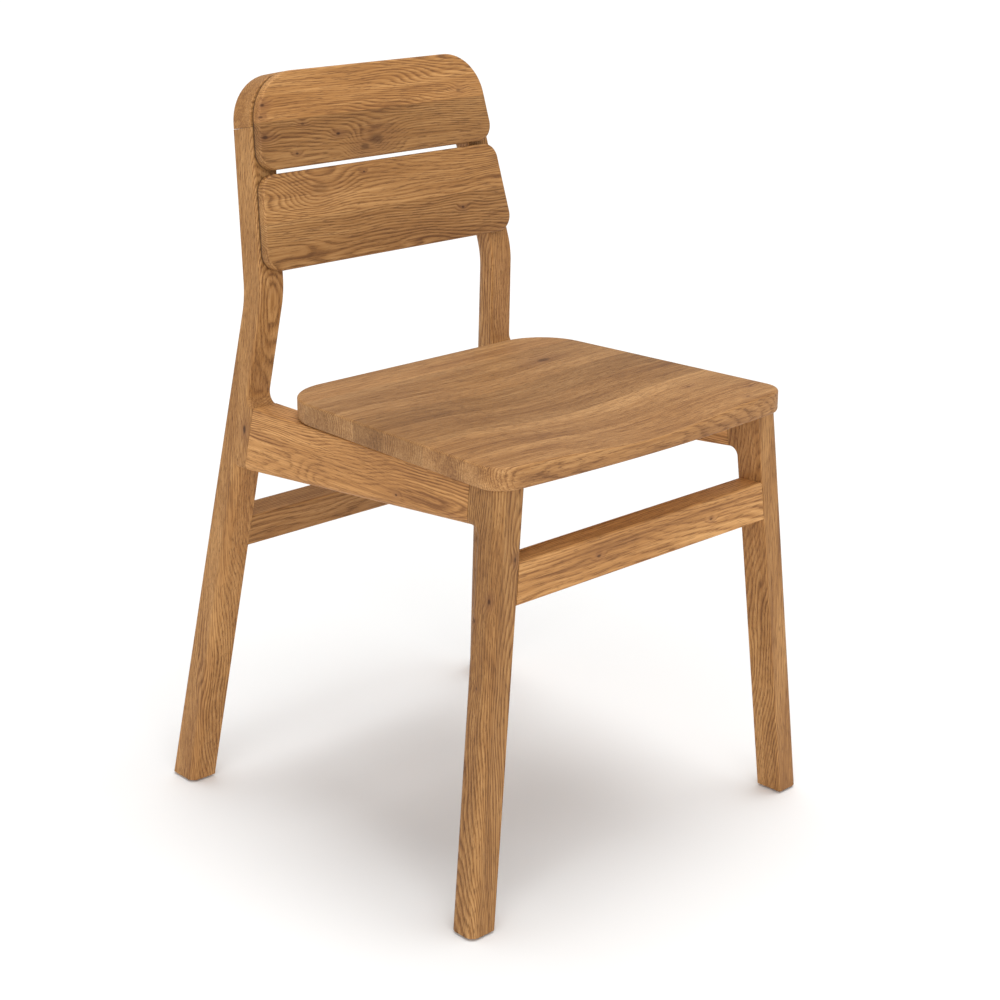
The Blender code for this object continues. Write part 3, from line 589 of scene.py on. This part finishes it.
def make_stretcher(node, middle_y, middle_z, height, depth, lean, wood):
    """An eased bar, cut from an overlong blank to end on the inner faces of the two legs."""
    bm = bmesh.new()
    bmesh.ops.create_cube(bm, size=1)
    bmesh.ops.scale(bm, vec=(BLANK_LENGTH, depth, height), verts=bm.verts)
    tilt = Matrix.Rotation(-atan(lean), 4, "X")
    stand_in_place = Matrix.Translation((0, middle_y, middle_z)) @ tilt
    bmesh.ops.transform(bm, matrix=stand_in_place, verts=bm.verts)
    rout(bm, long_edge, STRETCHER_ROUND_STEPS)
    for vert in bm.verts:
        end = half_width(vert.co.y, vert.co.z) - STOCK - GAP
        vert.co.x = end if vert.co.x > 0 else -end
    bar = make_piece(node + "_oak", bm, wood)
    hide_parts(node)


front_bar_y = front_leg_y(FRONT_STRETCHER_Z) + FRONT_STRETCHER_DEPTH / 2
front_wood = oak("oak_front_stretcher", (0, front_bar_y, FRONT_STRETCHER_Z), ACROSS_CHAIR,
                 heart=(0.040, 0.055), seed=12.6, tone=1.10, knots=FRONT_STRETCHER_KNOTS)
make_stretcher("front_stretcher", front_bar_y, FRONT_STRETCHER_Z, FRONT_STRETCHER_HEIGHT,
               FRONT_STRETCHER_DEPTH, FRONT_LEAN, front_wood)

rear_bar_y = (rear_leg_y(REAR_STRETCHER_Z) + rear_leg_back_y(REAR_STRETCHER_Z)) / 2
rear_lean = (rear_bar_y - REAR_FOOT_Y + REAR_FOOT_DEPTH / 2) / REAR_STRETCHER_Z
rear_wood = oak("oak_rear_stretcher", (0, rear_bar_y, REAR_STRETCHER_Z), ACROSS_CHAIR,
                heart=(0.020, 0.060), seed=15.3, tone=0.80)
make_stretcher("rear_stretcher", rear_bar_y, REAR_STRETCHER_Z, REAR_STRETCHER_HEIGHT,
               REAR_STRETCHER_DEPTH, rear_lean, rear_wood)


# ---------------------------------------------------------------------------------------------
# Seat. Staves of oak glued edge to edge, with the grain across the chair, so their end grain
# shows along both sides. The top is dished for the sitter, and the rim is eased above and below.

SEAT_FRONT_Y = -0.250
SEAT_REAR_Y = 0.1010
SEAT_THICKNESS = 0.0232
SEAT_FRONT_HALF = 0.2042
SEAT_REAR_HALF = 0.1872
SEAT_BOW = 0.0078
SEAT_BOW_HALF = 0.1775
SEAT_REAR_CORNER = 0.058
SEAT_TOP_EASED = 0.0024
SEAT_BOTTOM_EASED = 0.004
DISH_DEPTH = 0.0078
DISH_HALF_WIDTH = 0.165
DISH_REAR_Y = 0.075
DISH_FULL_Y = -0.060
GLUE_LINES = (-0.1934, -0.1349, -0.0749, -0.0279, 0.0021, 0.0521)
BOW_STEPS = 24
SEAT_ARC_STEPS = 16
RIM_STEPS = 5
DISH_CUTS = 15
FRONT_CUTS_FROM = 0.012
REAR_CUTS_TO = 0.004
CUT_SPACING = 0.010
STAVE_MIDDLE_UP = 0.012
# Painted sheen on the seat staves: their colour is made cooler and paler, standing in for the
# reflection of the white surroundings on the top.
SEAT_PAINTED_SHEEN = 0.14
STAVE_TONES = (0.98, 0.93, 0.80, 0.72, 0.82, 0.78, 0.95)
STAVE_KNOTS = {
    1: ((0.1805, 0.0128, 0.0115, 0.0018, 0.7), (0.150, -0.010, 0.0115, 0.0016, 0.6)),
    2: ((0.1347, -0.0013, 0.0115, 0.0020, 0.7), (0.060, 0.012, 0.0115, 0.0014, 0.5)),
    6: ((0.1042, -0.0135, 0.0115, 0.0060, 0.6), (0.020, 0.006, 0.0115, 0.0020, 0.5))}


def seat_half(y):
    along = (y - SEAT_FRONT_Y) / (SEAT_REAR_Y - SEAT_FRONT_Y)
    return SEAT_FRONT_HALF + (SEAT_REAR_HALF - SEAT_FRONT_HALF) * along


def seat_outline():
    """The seat from above: a bowed front between two corners that are tangent to it."""
    bow_radius = (SEAT_BOW_HALF ** 2 + SEAT_BOW ** 2) / (2 * SEAT_BOW)
    bow = []
    for step in range(1, BOW_STEPS):
        x = SEAT_BOW_HALF * (2 * step / BOW_STEPS - 1)
        bow.append((x, SEAT_FRONT_Y + bow_radius - (bow_radius ** 2 - x ** 2) ** 0.5, 0))
    slope = SEAT_BOW_HALF / (bow_radius - SEAT_BOW)
    bow_end_y = SEAT_FRONT_Y + SEAT_BOW
    corner_x = seat_half(bow_end_y)
    corner_y = bow_end_y + (corner_x - SEAT_BOW_HALF) * slope
    tangent = hypot(corner_x - SEAT_BOW_HALF, corner_y - bow_end_y)
    along_side = Vector((seat_half(SEAT_REAR_Y) - corner_x, SEAT_REAR_Y - corner_y))
    corner_angle = along_side.angle(Vector((SEAT_BOW_HALF - corner_x, bow_end_y - corner_y)))
    radius = tangent * tan(corner_angle / 2)
    corners = [(-corner_x, corner_y, radius), *bow, (corner_x, corner_y, radius)]
    corners += [(SEAT_REAR_HALF, SEAT_REAR_Y, SEAT_REAR_CORNER),
                (-SEAT_REAR_HALF, SEAT_REAR_Y, SEAT_REAR_CORNER)]
    return flat(corner_points(corners, SEAT_ARC_STEPS))


def dish(x, y):
    """How far the top is hollowed: nothing along the sides and the rear, most at the front."""
    across = cos(pi / 2 * min(1, abs(x) / DISH_HALF_WIDTH)) ** 2
    along = min(1, max(0, (DISH_REAR_Y - y) / (DISH_REAR_Y - DISH_FULL_Y)))
    return DISH_DEPTH * across * (3 - 2 * along) * along ** 2


def seat_rim(a, b):
    if min(a.z, b.z) > SEAT_THICKNESS / 2 - HAIR:
        return SEAT_TOP_EASED
    return SEAT_BOTTOM_EASED if max(a.z, b.z) < HAIR - SEAT_THICKNESS / 2 else 0


slab = sawn_board(seat_outline(), SEAT_THICKNESS)
rout(slab, seat_rim, RIM_STEPS)
bmesh.ops.translate(slab, vec=(0, 0, SEAT_BOTTOM_Z + GAP + SEAT_THICKNESS / 2), verts=slab.verts)
lines = (SEAT_FRONT_Y - 1, *GLUE_LINES, SEAT_REAR_Y + 1)
for number, (front, rear) in enumerate(zip(lines, lines[1:]), start=1):
    bm = slab.copy()
    for y, way in ((front, -1), (rear, 1)):
        found = cut(bm, (0, y, 0), (0, way, 0), clear_outer=True)
        rim = [item for item in found if isinstance(item, bmesh.types.BMEdge)]
        if rim:
            bmesh.ops.contextual_create(bm, geom=rim)
    for step in range(-DISH_CUTS, DISH_CUTS + 1):
        cut(bm, (DISH_HALF_WIDTH * step / DISH_CUTS, 0, 0), (1, 0, 0))
    first = max(front, SEAT_FRONT_Y + FRONT_CUTS_FROM)
    last = min(rear, SEAT_REAR_Y - REAR_CUTS_TO)
    cuts = round((last - first) / CUT_SPACING)
    for step in range(1, cuts):
        cut(bm, (0, first + (last - first) * step / cuts, 0), (0, 1, 0))
    for vert in bm.verts:
        x, y, z = vert.co
        vert.co.z -= dish(x, y) * (z - SEAT_BOTTOM_Z - GAP) / SEAT_THICKNESS
    middle = (max(front, SEAT_FRONT_Y) + min(rear, SEAT_REAR_Y)) / 2
    heart = (0.090 + 0.015 * (number % 3), 0.010 * (number % 2))
    wood = oak(f"oak_seat_stave_{number}", (0, middle, SEAT_BOTTOM_Z + STAVE_MIDDLE_UP), (0, 0, 0),
               heart, seed=21.0 + 2.9 * number, tone=STAVE_TONES[number - 1],
               knots=STAVE_KNOTS.get(number, ()), painted_sheen=SEAT_PAINTED_SHEEN)
    stave = make_piece(f"seat_stave_{number}_oak", bm, wood, 0)
    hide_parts(f"seat_stave_{number}")
slab.free()


# ---------------------------------------------------------------------------------------------
# Crest rail. The top bar of the back, on the ends of the posts and as deep as they are, so the
# posts seem to run on into it. Its top corners follow the upper slat, and its rear is rounded.

SLAT_THICKNESS = 0.0118
SLAT_HEIGHT = 0.0964
SLAT_GAP = 0.0036
SLAT_START = 0.0218
SLAT_CORNER = 0.018
SLAT_INSET = 0.0018
SLAT_EASED = 0.003
TOP_CORNER = 0.051
CREST_FRONT_EASED = 0.001
CREST_SANDED = 0.0002
BACK_ARC_STEPS = 18
BACK_ROUND_STEPS = 6
BACK_TOP_UP = SLAT_START + 2 * SLAT_HEIGHT + SLAT_GAP


def back_half_width(up):
    point = on_back(0, up, 0)
    return half_width(point.y, point.z)


def make_back_board(node, low, high, low_corner, high_corner, out, thickness, inset, rims, wood, eased):
    """A board across the back from low to high up the slope, with its ends along the cant."""
    wide = back_half_width(low) - inset
    narrow = back_half_width(high) - inset
    points = flat(corner_points([
        (-wide, low, low_corner), (wide, low, low_corner),
        (narrow, high, high_corner), (-narrow, high, high_corner)], BACK_ARC_STEPS))
    bm = sawn_board(points, thickness)
    square = [line for line, corner in ((low, low_corner), (high, high_corner)) if corner == 0]

    def rim(a, b):
        if any(abs(a.y - line) < HAIR and abs(b.y - line) < HAIR for line in square):
            return 0
        if min(a.z, b.z) > thickness / 2 - HAIR:
            return rims[0]
        return rims[1] if max(a.z, b.z) < HAIR - thickness / 2 else 0

    rout(bm, rim, BACK_ROUND_STEPS)
    lean_back = Matrix.Rotation(pi / 2 - BACK_ANGLE, 4, "X")
    to_posts = Matrix.Translation(on_back(0, 0, out))
    bmesh.ops.transform(bm, matrix=to_posts @ lean_back, verts=bm.verts)
    board = make_piece(node + "_oak", bm, wood, eased)
    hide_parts(node)


LEANING = (pi / 2 - BACK_ANGLE, 0, 0)
crest_middle = on_back(0, (POST_TOP_UP + BACK_TOP_UP) / 2, -POST_DEPTH / 2)
crest_wood = oak("oak_crest_rail", crest_middle, LEANING, heart=(0.050, 0.060), seed=33.3, tone=0.95)
make_back_board("crest_rail", POST_TOP_UP + GAP, BACK_TOP_UP, 0, TOP_CORNER, -POST_DEPTH / 2,
                POST_DEPTH, 0, (CREST_FRONT_EASED, REAR_OUTER_ROUND), crest_wood, CREST_SANDED)


# ---------------------------------------------------------------------------------------------
# Back slats. Two slats in front of the posts, each glued up from two boards of unlike colour,
# with rounded corners and eased rims. Blind dowels hold them to the posts. A fine dark line of
# painted shade is painted on the back of each slat near its posts, where shade falls between them.

# Painted shade behind the slats: the depths through a slat where it is full and gone, and how far from
# the middle it starts.
PAINTED_SHADE_FULL = 0.0027 - SLAT_THICKNESS / 2
PAINTED_SHADE_GONE = 0.0042 - SLAT_THICKNESS / 2
PAINTED_SHADE_FROM_X = 0.145
CREST_BACKED = "slat_upper_top_board"
SLAT_LOOKS = {
    "slat_upper_top_board": (1.03, 2.6, (0.050, 0.030), (
        (-0.1465, -0.0072, 0.0059, 0.0022, 0.9), (-0.1501, -0.0190, 0.0050, 0.0018, 0.9),
        (0.1160, -0.0157, 0.0059, 0.0022, 0.5))),
    "slat_upper_bottom_board": (0.73, 1.2, (0.030, 0.020), (
        (-0.1490, 0.0093, 0.0059, 0.0026, 0.9), (-0.0999, 0.0180, 0.0059, 0.0016, 0.6),
        (-0.1122, -0.0107, 0.0059, 0.0013, 0.9), (-0.0561, 0.0037, 0.0059, 0.0018, 1.0),
        (-0.0070, -0.0065, 0.0059, 0.0060, 0.55), (-0.0232, -0.0131, 0.0059, 0.0040, 0.6))),
    "slat_lower_top_board": (0.86, 2.2, (0.045, 0.026), (
        (-0.0296, 0.0136, 0.0059, 0.0010, 0.9), (-0.0900, 0.0040, 0.0059, 0.0070, 0.25))),
    "slat_lower_bottom_board": (0.75, 1.7, (0.025, 0.028), (
        (0.1000, 0.0087, 0.0059, 0.0015, 0.9),))}

for number, (slat, low, top_corner) in enumerate((
        ("slat_lower", SLAT_START, SLAT_CORNER),
        ("slat_upper", SLAT_START + SLAT_HEIGHT + SLAT_GAP, TOP_CORNER))):
    glue = low + SLAT_HEIGHT / 2
    out = GAP + SLAT_THICKNESS / 2
    for node, bottom, top, corners in (
            (slat + "_bottom_board", low, glue, (SLAT_CORNER, 0)),
            (slat + "_top_board", glue, low + SLAT_HEIGHT, (0, top_corner))):
        tone, figure, heart, knots = SLAT_LOOKS[node]
        # The board backed by the crest rail gets the painted shade all along its back.
        starts = 0.0 if node == CREST_BACKED else PAINTED_SHADE_FROM_X
        wood = oak("oak_" + node, on_back(0, (bottom + top) / 2, out), LEANING, heart,
                   seed=41.0 + 4.1 * number + tone * 7, tone=tone, knots=knots, figure=figure,
                   painted_shade=(PAINTED_SHADE_FULL, PAINTED_SHADE_GONE, starts))
        make_back_board(node, bottom, top, *corners, out, SLAT_THICKNESS, SLAT_INSET,
                        (SLAT_EASED, SLAT_EASED), wood, 0)


# ---------------------------------------------------------------------------------------------
# Hidden fixings. Loose tenons and dowels of raw beech inside the joints, and zinc plated screws
# up through the rails into the seat, with their heads deep in counterbores.

BEECH = ((0.3, (0.50, 0.32, 0.19)), (0.7, (0.68, 0.47, 0.30)))
ZINC = ((0.3, (0.48, 0.48, 0.50)), (0.7, (0.62, 0.62, 0.64)))


def fitting_finish(name, waves, stops, roughness, metallic=0.0):
    """A finish that varies a little between two shades, in grains of this many waves per metre."""
    w = Finish(name)
    place = w.tree.nodes.new("ShaderNodeTexCoord").outputs["Object"]
    grain = w.noise(place, waves, 3, 0.6)
    w.put(w.shader.inputs["Base Color"], w.ramp(grain, stops))
    w.put(w.shader.inputs["Roughness"], w.maths("MULTIPLY_ADD", grain, 0.2, roughness))
    w.shader.inputs["Metallic"].default_value = metallic
    return w.look


def finish_node(name, look):
    mesh = nodes[name].data
    mesh.materials.clear()
    mesh.materials.append(look)


beech = fitting_finish("raw_beech", (400, 60, 400), BEECH, 0.5)
zinc = fitting_finish("zinc_steel", (300, 300, 300), ZINC, 0.25, metallic=1.0)
for word, side in SIDES:
    for end in ("front", "rear"):
        finish_node(f"rail_tenon_{end}_{word}", beech)
        finish_node(f"stretcher_tenon_{end}_{word}", beech)
        finish_node(f"seat_screw_{end}_{word}", zinc)
    for place in ("inner", "outer"):
        finish_node(f"crest_dowel_{place}_{word}", beech)
    for slat in ("lower", "upper"):
        for board in ("bottom", "top"):
            finish_node(f"dowel_slat_{slat}_{board}_{word}", beech)


# ---------------------------------------------------------------------------------------------
# Glides. A dark nylon button on a pin under each foot, which keeps the wood off the floor.

NYLON = ((0.3, (0.030, 0.024, 0.020)), (0.7, (0.055, 0.045, 0.038)))

nylon = fitting_finish("matte_nylon", (900, 900, 900), NYLON, 0.5)
for word, side in SIDES:
    for end in ("front", "rear"):
        finish_node(f"glide_{end}_{word}", nylon)


# ---------------------------------------------------------------------------------------------
# The studio: a seamless pale floor, two wide soft lights overhead and one from the front left,
# white surroundings, and a camera above the chair, in front of it and to its left.

FLOOR_RADIUS = 30
FLOOR_SIDES = 64
FLOOR_COLOUR = (0.93, 0.93, 0.925)
SURROUNDINGS_STRENGTH = 0.42
EYE = Vector((-1.4128, -1.5182, 1.0180))
TURN = radians(-43.498)
TILT = radians(18.464)
FRAME_WIDTH = 36
LENS = 74.94

floor_mesh = bpy.data.meshes.new("floor")
bm = bmesh.new()
bmesh.ops.create_circle(bm, cap_ends=True, segments=FLOOR_SIDES, radius=FLOOR_RADIUS)
bm.to_mesh(floor_mesh)
bm.free()
floor = bpy.data.objects.new("floor", floor_mesh)
bpy.context.scene.collection.objects.link(floor)
w = Finish("pale_floor")
w.shader.inputs["Base Color"].default_value = (*FLOOR_COLOUR, 1)
w.shader.inputs["Roughness"].default_value = 0.9
w.shader.inputs["Specular IOR Level"].default_value = 0.1
floor_mesh.materials.append(w.look)


def wide_light(name, strength, spread, towards):
    """A far light that is spread degrees wide, so its shadows are soft and it never falls off."""
    light = bpy.data.lights.new(name, "SUN")
    light.energy = strength
    light.angle = radians(spread)
    lamp = bpy.data.objects.new(name, light)
    bpy.context.scene.collection.objects.link(lamp)
    lamp.rotation_euler = Vector(towards).to_track_quat("-Z", "Y").to_euler()


wide_light("overhead", 0.95, 34, (-0.10, -0.12, -1.0))
wide_light("overhead_front", 0.85, 40, (-0.16, 0.20, -1.0))
wide_light("left_fill", 1.50, 60, (0.60, 0.62, -0.42))

surroundings = bpy.data.worlds.new("white_surroundings")
surroundings.use_nodes = True
sky = surroundings.node_tree.nodes["Background"]
sky.inputs["Color"].default_value = (1, 1, 1, 1)
sky.inputs["Strength"].default_value = SURROUNDINGS_STRENGTH
bpy.context.scene.world = surroundings
bpy.context.scene.view_settings.view_transform = "Standard"
bpy.context.scene.view_settings.look = "None"

view = bpy.data.cameras.new("camera")
view.sensor_width = FRAME_WIDTH
view.lens = LENS
camera = bpy.data.objects.new("camera", view)
bpy.context.scene.collection.objects.link(camera)
camera.location = EYE
camera.rotation_euler = (pi / 2 - TILT, 0, TURN)
bpy.context.scene.camera = camera
